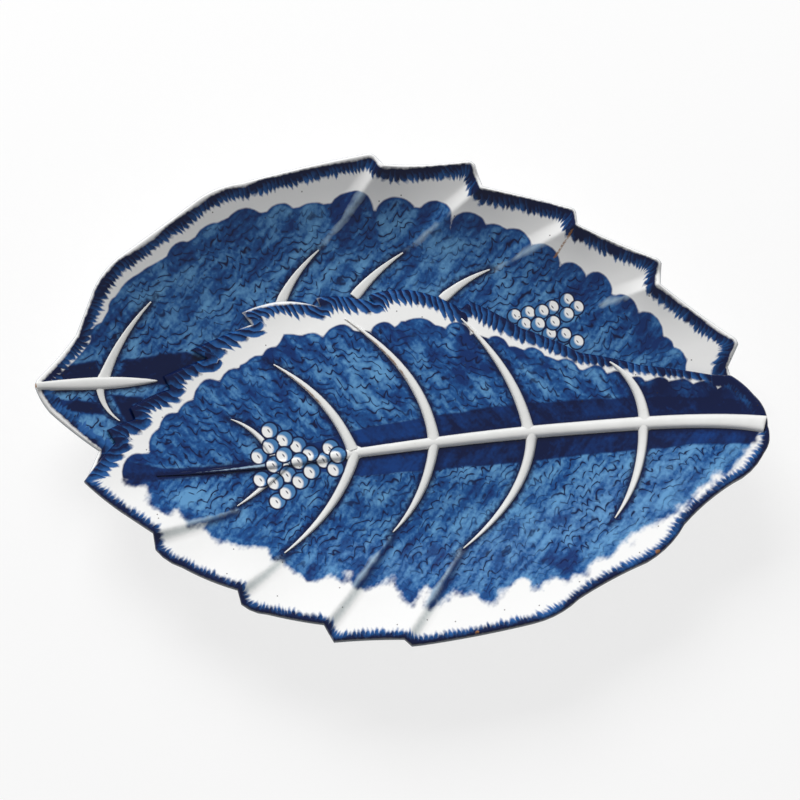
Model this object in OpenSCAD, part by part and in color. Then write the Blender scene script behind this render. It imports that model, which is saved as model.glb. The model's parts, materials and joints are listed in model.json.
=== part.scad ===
// Leaf-shaped serving dish: two pressed porcelain leaves laid head to tail over one foot ring,
// with raised midribs and side veins. Nothing on it moves.
// Millimetres, +Z up. The foot stands on z = 0 and the dish is centred on the origin.
// The back leaf lies towards +Y with its stalk end at -X, the front leaf towards -Y with its stalk end at +X.

/* [Dish] */
// Length from one stalk end to the other
dish_length = 290; // [220:1:380]
// Width across both leaves
dish_width = 200; // [150:1:260]
// Rise of the rim above the flat well
rim_rise = 24; // [14:0.5:32]
// How late the wall turns up: a larger number keeps it flat for longer
rim_flare = 1.8; // [1.5:0.1:2.4]
// Wall of the back leaf, which runs on under the front leaf
wall = 3.2; // [2.4:0.1:5]
// Set-back of the rounded lip
lip = 1.2; // [0.8:0.1:1.6]

/* [Well and foot] */
// Length of the flat well
well_length = 132; // [100:1:150]
// Width of the flat well
well_width = 84; // [64:1:92]
// Height of the foot ring
foot_height = 5; // [3:0.5:10]
// Thickness of the foot ring
foot_wall = 5; // [3:0.5:8]
// Distance of the foot ring inside the edge of the well
foot_inset = 3; // [1:0.5:8]

/* [Front leaf] */
// Thickness of the front leaf, which is the step at its edge over the back leaf
front_wall = 2.4; // [1.6:0.1:4]
// Bed of slip under the front leaf and under each rib
slip = 0.3; // [0.25:0.05:0.5]

/* [Folds of the rim] */
// Height of the fold that ends in each notch of the rim
fold_height = 4; // [0:0.1:5]
// Width of the steep side of a fold, towards the stalk
fold_flank = 7; // [5:0.5:12]
// Width of the gentle side of a fold, towards the leaf tip
fold_panel = 26; // [16:1:34]

/* [Ribs] */
// Width of the front leaf's midrib at the stalk
midrib_width = 5.4; // [4:0.1:7]
// Height of the front leaf's midrib
midrib_height = 1.8; // [1.2:0.1:3]
// Width of the back leaf's midrib where it dives under the front leaf
back_midrib_width = 4; // [3:0.1:5]
// Height of the back leaf's midrib
back_midrib_height = 1; // [0.6:0.1:2.4]
// Width of a side vein at its root
vein_width = 4; // [3:0.1:5]
// Height of a side vein of the front leaf at its root
vein_height = 1.4; // [1:0.1:2.4]
// Height of a side vein of the back leaf at its root
back_vein_height = 0.6; // [0.5:0.1:1.4]
// Gap between a rib and the piece that it runs up to
rib_gap = 0.6; // [0.5:0.1:1]

/* [Hidden] */

porcelain = [0.95, 0.95, 0.93];
cobalt = [0.22, 0.38, 0.62];
biscuit = [0.88, 0.83, 0.74];

// The leaves are drawn on a pattern of this size, and stretched to the size of the dish
pattern = [290, 200];
// Exponent of the plan of well and bowl: 2 is an ellipse, less is more pointed
fullness = 1.75;
// Longest straight piece of an edge
edge_step = 5;
// Edge points to each side that are averaged to even out the teeth
evening = 3;
// Pieces along a rib
rib_steps = 14;
// Rings of the leaves, as shares of the way from the hub to the edge
rings = [0.16, 0.27, 0.35, 0.42, 0.49, 0.56, 0.63, 0.70, 0.77, 0.84, 0.92];
// Turn of the spokes on the upper side, so that they run along the veins of each leaf
back_lean = 48;
front_lean = -30;

// Pattern point that all spokes start from, on the front leaf's midrib
HUB = [8, -18];

// Edges as [x, y, bow], counter-clockwise; bow is how far the stretch to the next point swells outward.
// Free edge of the front leaf: from its tip along four teeth of the bottom, and round the stalk end
FRONT_RIM = [
    [-125, -34, 0.5], [-107, -48, 0], [-97.5, -54.5, 0],
    [-96.5, -61, 1], [-86, -68, 0.6], [-64, -77.5, 0],
    [-62.5, -83, 1], [-52, -87, 0.2], [-30, -91.5, 0],
    [-26, -98.5, -0.6], [1.5, -97.5, 0],
    [4.5, -100, 0.5], [52, -91, 1.5], [70, -81, -0.8], [97, -66.5, 1.5], [112, -51, -1],
    [131, -35, 1.5], [143, -24, 1.5], [145, -12.5, 1.5], [140, 1, 0.5], [131.5, 9.5, 0]
];
// Free edge of the back leaf: from the front leaf's stalk end over five teeth, and round to the left
BACK_RIM = [
    [130.5, 13.5, 0],
    [134.5, 22, 0.5], [132, 25.5, 0], [104, 47, 0],
    [104.5, 55.5, 0.5], [101.5, 58, 0], [71, 71.5, 0],
    [70.5, 76.5, 0.4], [68.5, 78.5, 0.5], [33, 87, 0],
    [30, 95.5, 0.5], [26.5, 97, -0.4], [-7, 95.5, 0],
    [-10, 99, 0.3], [-13, 100, 0.8], [-64, 87.5, 1.2], [-82, 80, 0], [-112, 57.5, 1.2],
    [-123, 43, 0], [-129.5, 26, -0.4], [-143.5, 8, 0.5], [-145, 4, 0.6], [-139, -6, 0.4], [-120, -20, 0]
];
// Edge of the front leaf over the back leaf: from its stalk end over eight teeth to its tip
FRONT_EDGE = [
    [124, 10.5, 0.4], [96, 16.5, 0.5], [72, 22.5, 0.6], [48.5, 33, 0.5], [28, 44, 0],
    [24.5, 41, 1], [4.5, 48.5, 0.3], [-4.5, 48.5, 0.3], [-13, 46.5, 0],
    [-10.5, 43.5, 0.6], [-28, 46, 0.2], [-34, 45, 0],
    [-32.5, 41.5, 0.8], [-49, 43.5, 0.6], [-64, 38.5, 0],
    [-60, 34, 0.4], [-84.5, 23, 0],
    [-78, 20, 0.3], [-95, 12, 0],
    [-92.5, 7, 0.8], [-108, -1.5, 0],
    [-106, -6, 0.3], [-117, -11.5, 0],
    [-113.5, -16.5, 0.4]
];
// Folds of the rim: inner end, and the notch of the edge that the fold runs out into
FOLDS = [
    [[-33, 64], [-7, 95.5]],
    [[0, 63], [33, 87]],
    [[38, 57], [71, 71.5]],
    [[80, 41], [104, 47]],
    [[-66, -43], [-97.5, -54.5]],
    [[-46, -61], [-64, -77.5]],
    [[-4, -53], [-30, -91.5]],
    [[24, -59], [1.5, -97.5]]
];

// Place on the dish of a pattern point
function at(p) = [p.x * dish_length / pattern.x, p.y * dish_width / pattern.y];
function turn(v, a) = [v.x * cos(a) - v.y * sin(a), v.x * sin(a) + v.y * cos(a)];
function curve(h, s) =
    len(h) == 1 ? h[0] : curve([for (i = [0:len(h) - 2]) h[i] + s * (h[i + 1] - h[i])], s);

// Points along one stretch of an edge, without its end
function stretch(a, b, bow) =
    let (n = max(1, round(norm(b - a) / edge_step)), out = [b.y - a.y, a.x - b.x] / norm(b - a))
    [for (i = [0:n - 1]) let (s = i / n) a + s * (b - a) + 4 * s * (1 - s) * bow * out];
function edge(rows) =
    [for (i = [0:len(rows) - 1]) each stretch(at(rows[i]), at(rows[(i + 1) % len(rows)]), rows[i][2])];

// Shape of the bowl: flat inside the well, then rising to the rim
function spread(p, size) =
    pow(pow(abs(2 * p.x / size.x), fullness) + pow(abs(2 * p.y / size.y), fullness), 1 / fullness);
function bowl(p) =
    let (w = spread(p, [well_length, well_width]), d = spread(p, [dish_length, dish_width]))
    w <= 1 ? 0 : rim_rise * pow((1 - 1 / w) / (1 / d - 1 / w), rim_flare);

// Folds of the rim: a sharp crest with a steep hollow side and a long gentle side
function fold(p, f) =
    let (
        a = at(f[0]), run = at(f[1]) - a, u = run / norm(run), q = p - a,
        along = min(1, max(0, q * u / norm(run))), off = q.x * u.y - q.y * u.x,
        flank = pow(max(0, 1 + min(off, 0) / fold_flank), 1.3),
        panel = pow(max(0, 1 - max(off, 0) / fold_panel), 2)
    )
    fold_height * pow(along, 1.3) * flank * panel;
function folds(p) = max([for (f = FOLDS) fold(p, f)]);

// Upper faces of the two leaves
function back_top(p) = foot_height + wall + bowl(p) + folds(p);
function front_top(p) = back_top(p) + slip + front_wall;

// Edge with its teeth evened out, which the inner rings follow
function evened(e) =
    let (n = len(e), ones = [for (j = [-evening:evening]) 1])
    [for (i = [0:n - 1]) ones * [for (j = [-evening:evening]) e[(i + j + n) % n]] / len(ones)];

// Point a share t of the way from the hub to edge point e, where the evened edge has point f
function spoke(e, f, t, lean) =
    let (v = f - at(HUB), swing = lean * max(0, v.y / norm(v)))
    at(HUB) + t * turn(v, swing * (1 - t)) + pow(t, 6) * (e - f);
function inside(e, t) = min(t, 1 - lip / norm(e - at(HUB)));

// Leaf of even thickness: rise lifts its upper face off that of the back leaf,
// and lip_share is the height of its lip line as a share of the thickness
module leaf(e, lean, rise, thick, lip_share) {
    f = evened(evened(e));
    n = len(e);
    r = len(rings) + 1;
    m = 2 * r + 1;
    shares = concat(rings, [1]);
    points = concat(
        [for (k = [0:n - 1]) let (p = e[k]) each concat(
            [for (t = shares) let (q = spoke(p, f[k], inside(p, t), lean))
                [q.x, q.y, back_top(q) + rise]],
            [[p.x, p.y, back_top(p) + rise - thick * (1 - lip_share)]],
            [for (j = [r - 1:-1:0]) let (q = spoke(p, f[k], inside(p, shares[j]), lean))
                [q.x, q.y, back_top(q) + rise - thick]]
        )],
        [for (z = [rise, rise - thick]) [at(HUB).x, at(HUB).y, back_top(at(HUB)) + z]]
    );
    faces = [for (k = [0:n - 1]) let (a = k * m, b = (k + 1) % n * m) each concat(
        [for (i = [0:m - 2]) each [[a + i, b + i, b + i + 1], [a + i, b + i + 1, a + i + 1]]],
        [[n * m, b, a], [n * m + 1, a + m - 1, b + m - 1]]
    )];
    polyhedron(points, faces);
}

// Rounded rib along the curve with pattern handles h, from share start of its length to its tip;
// a larger dwindle keeps its width for longer
module rib(h, width, height, front, start, dwindle) {
    path = [for (p = h) at(p)];
    section = [[-1, 0], [-0.62, 0.74], [0, 1], [0.62, 0.74], [1, 0]];
    c = len(section);
    points = [for (i = [0:rib_steps]) let (
        s = start + (1 - start) * i / rib_steps, way = curve(path, s + 0.001) - curve(path, s - 0.001),
        across = [way.y, -way.x] / norm(way), size = 1 - 0.75 * pow(s, dwindle)
    ) for (k = section) let (p = curve(path, s) + k[0] * size * width / 2 * across)
        [p.x, p.y, (front ? front_top(p) : back_top(p)) + slip + k[1] * size * height]];
    faces = concat(
        [for (i = [0:rib_steps - 1], k = [0:c - 1]) let (a = i * c, b = a + c, l = (k + 1) % c)
            each [[a + k, b + k, b + l], [a + k, b + l, a + l]]],
        [[for (k = [0:c - 1]) k], [for (k = [c - 1:-1:0]) rib_steps * c + k]]
    );
    polyhedron(points, faces);
}

// Side vein that branches off a rib of width beside, which runs along X: its first handle is on the middle
// of that rib, and its root starts clear of it. With beside 0 it comes out from under the front leaf's edge
module side_vein(h, front, beside, size) {
    width = vein_width * size;
    height = (front ? vein_height : back_vein_height) * size;
    way = at(h[1]) - at(h[0]);
    clear = (norm(way) * (beside / 2 + rib_gap) + abs(way.x) * width / 2) / abs(way.y);
    start = (beside == 0 ? rib_gap : clear) / (2 * norm(way));
    rib(h, width, height, front, start, front ? 2.2 : 1.1);
}

// Back leaf, with the wall of the whole dish under the front leaf
module back_leaf() {
    color(cobalt)
        leaf(edge(concat(FRONT_RIM, BACK_RIM)), back_lean, 0, wall, 0.5);
}

// Front leaf, bedded on the back leaf
module front_leaf() {
    color(cobalt)
        leaf(edge(concat(FRONT_RIM, FRONT_EDGE)), front_lean, slip + front_wall, front_wall, 0);
}

// Foot ring under the flat well
module oval(length, width) {
    polygon([for (a = [0:5:355]) let (c = cos(a), s = sin(a)) [
        sign(c) * pow(abs(c), 2 / fullness) * length / 2,
        sign(s) * pow(abs(s), 2 / fullness) * width / 2
    ]]);
}

module foot_ring() {
    outer = [well_length - 2 * foot_inset, well_width - 2 * foot_inset];
    color(biscuit)
        linear_extrude(foot_height)
            difference() {
                oval(outer.x, outer.y);
                oval(outer.x - 2 * foot_wall, outer.y - 2 * foot_wall);
            }
}

// Ribs of the front leaf
module front_midrib() {
    color(porcelain)
        rib([[142, -11.5], [90, 1], [-10, -19], [-97, -29.5]], midrib_width, midrib_height, true, 0, 3);
}

module front_vein_upper_1() {
    color(porcelain)
        side_vein([[97.5, -7.5], [97, 9], [84, 18]], true, midrib_width, 1);
}

module front_vein_upper_2() {
    color(porcelain)
        side_vein([[51.5, -10.5], [47, 14], [24.5, 36.5]], true, midrib_width, 1);
}

module front_vein_upper_3() {
    color(porcelain)
        side_vein([[13.5, -14.5], [10, 15], [-22.5, 36.5]], true, midrib_width, 1);
}

module front_vein_upper_4() {
    color(porcelain)
        side_vein([[-19, -18], [-27.5, 4], [-51, 17.5]], true, midrib_width, 0.95);
}

module front_vein_upper_5() {
    color(porcelain)
        side_vein([[-49, -23.5], [-56, -9], [-68, -5]], true, midrib_width, 0.6);
}

module front_vein_lower_1() {
    color(porcelain)
        side_vein([[97, -7.5], [97, -30], [85, -47]], true, midrib_width, 0.9);
}

module front_vein_lower_2() {
    color(porcelain)
        side_vein([[52.5, -10.5], [52, -35], [25, -58]], true, midrib_width, 0.95);
}

module front_vein_lower_3() {
    color(porcelain)
        side_vein([[13.5, -14.5], [11, -36], [-3, -51]], true, midrib_width, 0.9);
}

module front_vein_lower_4() {
    color(porcelain)
        side_vein([[-18, -18], [-23, -40], [-46, -60.5]], true, midrib_width, 0.95);
}

module front_vein_lower_5() {
    color(porcelain)
        side_vein([[-45, -22.5], [-54, -33], [-65, -41]], true, midrib_width, 0.6);
}

// Ribs of the back leaf; all but the first pair come out from under the front leaf's edge
module back_midrib() {
    color(porcelain)
        rib([[-141.5, 4.6], [-120, 8], [-97.5, 10.3]], back_midrib_width, back_midrib_height, false, 0, 6);
}

module back_vein_upper_1() {
    color(porcelain)
        side_vein([[-119, 8], [-113.5, 26], [-100, 41]], false, back_midrib_width, 1.3);
}

module back_vein_upper_2() {
    color(porcelain)
        side_vein([[-47.5, 45], [-43, 55], [-33, 64]], false, 0, 1.1);
}

module back_vein_upper_3() {
    color(porcelain)
        side_vein([[-17, 48], [-10, 56.5], [1, 63.5]], false, 0, 1.2);
}

module back_vein_upper_4() {
    color(porcelain)
        side_vein([[18.5, 46.5], [26, 53], [36, 56.5]], false, 0, 1.1);
}

module back_vein_lower_1() {
    color(porcelain)
        side_vein([[-120, 7.8], [-120, -2], [-112, -7]], false, back_midrib_width, 0.9);
}

back_leaf();
front_leaf();
foot_ring();
front_midrib();
back_midrib();
front_vein_upper_1();
front_vein_upper_2();
front_vein_upper_3();
front_vein_upper_4();
front_vein_upper_5();
front_vein_lower_1();
front_vein_lower_2();
front_vein_lower_3();
front_vein_lower_4();
front_vein_lower_5();
back_vein_upper_1();
back_vein_upper_2();
back_vein_upper_3();
back_vein_upper_4();
back_vein_lower_1();
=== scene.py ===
import json
import math

import bpy
import numpy as np
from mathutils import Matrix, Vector, kdtree

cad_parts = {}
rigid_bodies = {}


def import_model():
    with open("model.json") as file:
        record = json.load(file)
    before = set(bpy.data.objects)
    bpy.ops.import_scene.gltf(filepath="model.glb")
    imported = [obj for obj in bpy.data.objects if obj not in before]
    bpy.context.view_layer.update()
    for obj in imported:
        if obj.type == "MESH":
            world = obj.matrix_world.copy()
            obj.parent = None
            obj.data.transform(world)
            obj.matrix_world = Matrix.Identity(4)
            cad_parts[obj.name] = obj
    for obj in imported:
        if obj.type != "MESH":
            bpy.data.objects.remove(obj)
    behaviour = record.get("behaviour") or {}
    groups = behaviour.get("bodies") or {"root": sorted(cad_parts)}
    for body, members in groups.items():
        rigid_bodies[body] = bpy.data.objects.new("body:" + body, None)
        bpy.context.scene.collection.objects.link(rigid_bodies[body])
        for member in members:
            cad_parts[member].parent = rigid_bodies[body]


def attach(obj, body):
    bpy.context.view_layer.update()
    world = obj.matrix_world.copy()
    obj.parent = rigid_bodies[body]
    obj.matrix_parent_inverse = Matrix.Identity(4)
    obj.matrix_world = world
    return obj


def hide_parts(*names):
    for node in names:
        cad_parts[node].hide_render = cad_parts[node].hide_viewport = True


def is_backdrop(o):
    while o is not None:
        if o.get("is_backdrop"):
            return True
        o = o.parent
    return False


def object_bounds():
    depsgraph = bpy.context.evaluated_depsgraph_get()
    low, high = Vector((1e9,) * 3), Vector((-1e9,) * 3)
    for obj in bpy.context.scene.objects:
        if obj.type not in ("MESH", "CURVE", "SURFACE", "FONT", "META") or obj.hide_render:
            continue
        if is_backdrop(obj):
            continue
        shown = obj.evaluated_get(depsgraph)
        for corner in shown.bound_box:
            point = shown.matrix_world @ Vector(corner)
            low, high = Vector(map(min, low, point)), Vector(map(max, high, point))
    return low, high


for leftover in list(bpy.data.objects):
    bpy.data.objects.remove(leftover)
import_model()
cad_low, cad_high = (np.array(corner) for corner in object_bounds())


# Back leaf
# One slab of porcelain paste pressed over a leaf mould: it is the wall of the whole dish, and the
# front leaf is luted onto its lower half. Painted in cobalt on the biscuit and clear glazed.

# Sizes in millimetres, angles in degrees
MM = 0.001
DISH = np.array([290.0, 200.0])
WELL = np.array([132.0, 84.0])
FULLNESS = 1.75
RIM_RISE = 24
RIM_FLARE = 1.8
FOOT_HEIGHT = 5
WALL = 3.2
LIP = 1.7
LIP_DROP = 0.6
SLIP = 0.3
FOLD_HEIGHT = 4
FOLD_FLANK = 5.5
FOLD_PANEL = 26
CREASE = 2
HUB = np.array([8.0, -18.0])
BACK_LEAN = 48

# Free edges as x, y and the swell of the stretch to the next point, counter-clockwise in millimetres
FRONT_RIM = [
    (-125, -34, 0.5), (-107, -48, 0), (-97.5, -54.5, 0), (-96.5, -61, 1), (-86, -68, 0.6),
    (-64, -77.5, 0), (-62.5, -83, 1), (-52, -87, 0.2), (-30, -91.5, 0), (-26, -98.5, -0.6),
    (1.5, -97.5, 0), (4.5, -100, 0.5), (52, -91, 1.5), (70, -81, -0.8), (97, -66.5, 1.5),
    (112, -51, -1), (131, -35, 1.5), (143, -24, 1.5), (145, -12.5, 1.5), (140, 1, 0.5),
    (131.5, 9.5, 0),
]
BACK_RIM = [
    (130.5, 13.5, 0), (134.5, 22, 0.5), (132, 25.5, 0), (104, 47, 0), (104.5, 55.5, 0.5),
    (101.5, 58, 0), (71, 71.5, 0), (70.5, 76.5, 0.4), (68.5, 78.5, 0.5), (33, 87, 0),
    (30, 95.5, 0.5), (26.5, 97, -0.4), (-7, 95.5, 0), (-10, 99, 0.3), (-13, 100, 0.8),
    (-64, 87.5, 1.2), (-82, 80, 0), (-112, 57.5, 1.2), (-123, 43, 0), (-129.5, 26, -0.4),
    (-143.5, 8, 0.5), (-145, 4, 0.6), (-139, -6, 0.4), (-120, -20, 0),
]
# Folds of the rim: inner end, and the notch of the edge that the fold runs out into
FOLDS = [
    ((-33, 64), (-7, 95.5)), ((0, 63), (33, 87)), ((38, 57), (71, 71.5)), ((80, 41), (104, 47)),
    ((-66, -43), (-97.5, -54.5)), ((-46, -61), (-64, -77.5)), ((-4, -53), (-30, -91.5)),
    ((24, -59), (1.5, -97.5)),
]


def edge(rows, step):
    """Points along an edge from its first row up to its last, which isn't drawn."""
    points = []
    for (ax, ay, swell), (bx, by, _) in zip(rows, rows[1:]):
        a, way = np.array([ax, ay]), np.array([bx - ax, by - ay])
        length = np.hypot(*way)
        s = np.arange(max(1, round(length / step)))[:, None] / max(1, round(length / step))
        points.append(a + s * way + 4 * s * (1 - s) * swell * np.array([way[1], -way[0]]) / length)
    return np.concatenate(points)


def spread(p, size):
    """Place of each point between the middle of an oval and its outline, where it is 1."""
    return ((abs(2 * p / size) ** FULLNESS).sum(-1)) ** (1 / FULLNESS)


def fold_height(p):
    """Height of the folds over the smooth bowl: a sharp crest, steep on one side, gentle on the other."""
    height = np.zeros(p.shape[:-1])
    for inner, notch in FOLDS:
        run = np.subtract(notch, inner)
        u = run / np.hypot(*run)
        q = p - np.array(inner)
        along = np.clip(q @ u / np.hypot(*run), 0, 1)
        off = q[..., 0] * u[1] - q[..., 1] * u[0]
        flank = np.maximum(1 + np.minimum(off, 0) / FOLD_FLANK, 0) ** 1.3
        panel = np.maximum(1 - np.maximum(off, 0) / FOLD_PANEL, 0) ** 2
        height = np.maximum(height, FOLD_HEIGHT * along**1.3 * flank * panel)
    return height


def crest_reading(p):
    """Distance of each point from the crest of the nearest fold, which is faint at its inner end, and
    from the crease that runs along the steep side of each fold of the lower rim."""
    crest, crease = np.full(len(p), 99.0), np.full(len(p), 99.0)
    for inner, notch in FOLDS:
        run = np.subtract(notch, inner)
        q = p - np.array(inner)
        along = np.clip(q @ run / (run @ run), 0, 1)
        far = np.hypot(*(q - along[:, None] * run).T) + 1.5 * np.maximum(0.5 - along, 0)
        crest = np.minimum(crest, far)
        if notch[1] < 0:
            steep = q[:, 0] * run[1] < q[:, 1] * run[0]
            crease = np.minimum(crease, abs(np.where(steep, far, -far) - CREASE))
    return {"crest": crest, "crease": crease}


def back_top(p):
    """Height of the back leaf's upper face: a flat well, then a wall that turns up to the rim."""
    w, d = np.maximum(spread(p, WELL), 1), spread(p, DISH)
    share = (1 - 1 / w) / np.maximum(1 / np.maximum(d, 1e-6) - 1 / w, 1e-6)
    return FOOT_HEIGHT + WALL + RIM_RISE * share**RIM_FLARE + fold_height(p)


def evened(e, reach):
    """A closed line with its teeth evened out."""
    for _ in range(2):
        e = np.mean([np.roll(e, j, 0) for j in range(-reach, reach + 1)], 0)
    return e


def spokes(e, shares, lean):
    """Points on the way from the hub to each edge point. The way bends along the veins on the upper side,
    and follows an edge with its teeth evened out until it comes near the real one."""
    even = evened(e, 13)
    v = even - HUB
    swing = math.radians(lean) * np.maximum(0, v[:, 1] / np.hypot(v[:, 0], v[:, 1]))
    turn = swing[:, None] * (1 - shares)
    x = v[:, :1] * np.cos(turn) - v[:, 1:] * np.sin(turn)
    y = v[:, :1] * np.sin(turn) + v[:, 1:] * np.cos(turn)
    return HUB + shares[..., None] * np.stack([x, y], -1) + shares[..., None] ** 6 * (e - even)[:, None]


def piece(name, points, faces, material, node):
    """One mesh in the frame, kept inside the box of the whole CAD model."""
    mesh = bpy.data.meshes.new(name)
    mesh.from_pydata(np.clip(points * MM, cad_low, cad_high).tolist(), [], faces)
    mesh.shade_smooth()
    mesh.materials.append(material)
    made = bpy.data.objects.new(name, mesh)
    bpy.context.scene.collection.objects.link(made)
    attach(made, "root")
    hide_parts(node)
    return made


def leaf_points(e, shares, lean, over, under, quarter):
    """Spokes of a leaf: upper face from the hub out, rounded lip, lower face back to the hub.
    quarter marks the edge points where only the lower half of the lip is round."""
    inset = 1 - LIP / np.hypot(*(e - HUB).T)
    upper = spokes(e, shares[0] * inset[:, None], lean)
    lower = spokes(e, shares[1] * inset[:, None], lean)
    outward = (e - HUB) / np.hypot(*(e - HUB).T)[:, None]
    phi = np.radians([72, 54, 36, 18, 0, -18, -36, -54, -72])
    back = LIP * (1 - np.cos(phi)) * np.where(quarter[:, None] & (phi > 0), 0, 1)
    lip = e[:, None] - back[..., None] * outward[:, None]
    high, low = over(e)[:, None] - LIP_DROP, under(e)[:, None]
    lip_z = (high + low) / 2 + (high - low) / 2 * np.sin(phi)
    xy = np.concatenate([upper, lip, lower], 1)
    z = np.concatenate([over(upper), lip_z, under(lower)], 1)
    return np.concatenate([xy, z[..., None]], 2)


def leaf_faces(n, m):
    """Quads between neighbouring spokes of m points, and a fan round the hub above and below."""
    faces = []
    for k in range(n):
        a, b = k * m, (k + 1) % n * m
        faces += [(a + i, a + i + 1, b + i + 1, b + i) for i in range(m - 1)]
        faces += [(n * m, a, b), (n * m + 1, b + m - 1, a + m - 1)]
    return faces


def nearest_on(p, line):
    """Nearest place to each point on a closed line: its distance, how far along the line it lies, and
    the point of the line there."""
    tree = kdtree.KDTree(len(line))
    for i, q in enumerate(line):
        tree.insert((q[0], q[1], 0), i)
    tree.balance()
    near = np.array([tree.find((x, y, 0))[1] for x, y in p])
    step = np.hypot(*(np.roll(line, -1, 0) - line).T)
    run = np.concatenate([[0], np.cumsum(step)[:-1]])
    best, place = np.full(len(p), 1e9), np.zeros(len(p))
    for first in (near - 1, near):
        first = first % len(line)
        a, way = line[first], line[(first + 1) % len(line)] - line[first]
        s = np.clip(((p - a) * way).sum(1) / (way**2).sum(1), 0, 1)
        far = np.hypot(*(p - a - s[:, None] * way).T)
        place = np.where(far < best, run[first] + s * step[first], place)
        best = np.minimum(best, far)
    return best, place, line[near]


def bezier(handles, s):
    """Points of a curve with the given handles at shares s of its length."""
    points = [np.array(h, float) + 0 * s[:, None] for h in handles]
    while len(points) > 1:
        points = [a + s[:, None] * (b - a) for a, b in zip(points, points[1:])]
    return points[0]


def rib_share(s, dwindle, flare):
    """Width of a rib at shares s of its length, as a share of its full width: it widens where it springs
    from another rib, and dwindles to its tip."""
    return (1 - 0.88 * np.maximum(s, 0) ** dwindle) * (1 + flare * np.exp(-np.maximum(s, 0) / 0.07))


def rib_reading(p, ribs):
    """Distance of each point from the side of the nearest rib, less than 0 under the rib. The blue line
    beside a rib runs on a little past its tip."""
    best = np.full(len(p), 99.0)
    for handles, width, _, dwindle, flare in ribs:
        s = np.linspace(0, 1.08, int(np.hypot(*np.subtract(handles[0], handles[-1]))) + 6)
        half = np.where(s < 1, width / 2 * rib_share(np.minimum(s, 1), dwindle, flare), -0.6)
        for c, h in zip(bezier(handles, s), half):
            best = np.minimum(best, np.hypot(*(p - c).T) - h)
    return best


def dabs(p, inside, strokes):
    """Cloud-like border of the blue: overlapping dabs of a broad brush, each set down at its place and
    drawn in towards the hub. Gives the distance inside the border, the darkness of the top dab and the
    distance from its side."""
    shade, seam = np.zeros(len(p)), np.full(len(p), 9.0)
    for x, y, r, dark in strokes:
        way = (HUB - (x, y)) / np.hypot(*(HUB - (x, y)))
        q = p - (x, y)
        along, aside = q @ way, q @ np.array([-way[1], way[0]]) / 1.3
        fade = np.clip(along / (2.5 * r), 0, 1)
        depth = r - np.hypot(np.where(along > 0, np.maximum(along - 2.5 * r, 0), along), aside)
        inside = np.maximum(inside, depth)
        weight = np.clip(depth / 1.2, 0, 1) * (1 - fade)
        shade = shade * (1 - weight) + dark * weight
        seam = np.minimum(np.where(depth > 1, 9, seam), abs(depth) + 5 * fade)
    return inside, shade, seam


def patch(p, corners):
    """Distance of each point inside a patch with the given corners, less than 0 outside."""
    corners = np.array(corners, float)
    within, far = np.zeros(len(p), bool), np.full(len(p), 1e9)
    for a, b in zip(corners, np.roll(corners, -1, 0)):
        s = np.clip((p - a) @ (b - a) / ((b - a) @ (b - a)), 0, 1)
        far = np.minimum(far, np.hypot(*(p - a - s[:, None] * (b - a)).T))
        crossed = (a[1] > p[:, 1]) != (b[1] > p[:, 1])
        within ^= crossed & (p[:, 0] < a[0] + (p[:, 1] - a[1]) / (b[1] - a[1] + 1e-9) * (b[0] - a[0]))
    return np.where(within, far, -far)


def by_length(p, rows):
    """A size that changes along the dish, from rows of place and value."""
    return np.interp(p[:, 0], *np.array(rows, float).T)


def spots(p, places):
    """Distance of each point outside the nearest of some round spots."""
    return np.min([np.hypot(*(p - (x, y)).T) - r for x, y, r in places], 0)


def give(made, **values):
    """Readings at the points of a mesh, for its material."""
    for name, value in values.items():
        kind = "FLOAT" if value.ndim == 1 else "FLOAT_VECTOR"
        store = made.data.attributes.new(name, kind, "POINT")
        store.data.foreach_set("value" if value.ndim == 1 else "vector", value.astype(np.float32).ravel())


GRAPE = 3.6
GRAPE_LAYERS = 7
GRAPE_ROOM = 2 * GRAPE + 4
GRAPE_MARGIN = 1.1


def grape_reading(p, centres, size, lit):
    """Painted grapes, in layers that each hold grapes clear of one another: place of each point on the
    nearest grape of a layer, measured from its middle towards lit and across, and far away soon outside
    its outline."""
    layers = [[] for _ in range(GRAPE_LAYERS)]
    for c in centres:
        room = [min([math.dist(c, other) for other in layer] + [99]) for layer in layers]
        free = [k for k in range(GRAPE_LAYERS) if room[k] > GRAPE_ROOM]
        layers[free[0] if free else int(np.argmax(room))].append(c)
    readings = {}
    for k, layer in enumerate(layers):
        q = (p[:, None] - np.array(layer or [(999, 999)])) * GRAPE / size
        q = q[np.arange(len(p)), np.hypot(q[..., 0], q[..., 1]).argmin(1)]
        q = q * (1 + 20 * np.maximum(np.hypot(*q.T) - GRAPE - GRAPE_MARGIN, 0))[:, None]
        towards, across = q @ np.array(lit), q @ np.array([-lit[1], lit[0]])
        readings[f"grape_{k}"] = np.stack([towards, across, 0 * across], 1)
    return readings


def add(tree, kind, feeds, out=0, **settings):
    """A shader node with its settings; feeds are values or sockets by input."""
    node = tree.nodes.new("ShaderNode" + kind)
    for key, value in settings.items():
        setattr(node, key, value)
    for socket, feed in feeds.items() if isinstance(feeds, dict) else enumerate(feeds):
        if isinstance(feed, bpy.types.NodeSocket):
            tree.links.new(feed, node.inputs[socket])
        else:
            node.inputs[socket].default_value = feed
    return node.outputs[out]


def linear(code):
    """Linear colour of an sRGB hex value."""
    parts = [int(code[i : i + 2], 16) / 255 for i in (1, 3, 5)]
    return tuple(c / 12.92 if c <= 0.04045 else ((c + 0.055) / 1.055) ** 2.4 for c in parts) + (1,)


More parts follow.
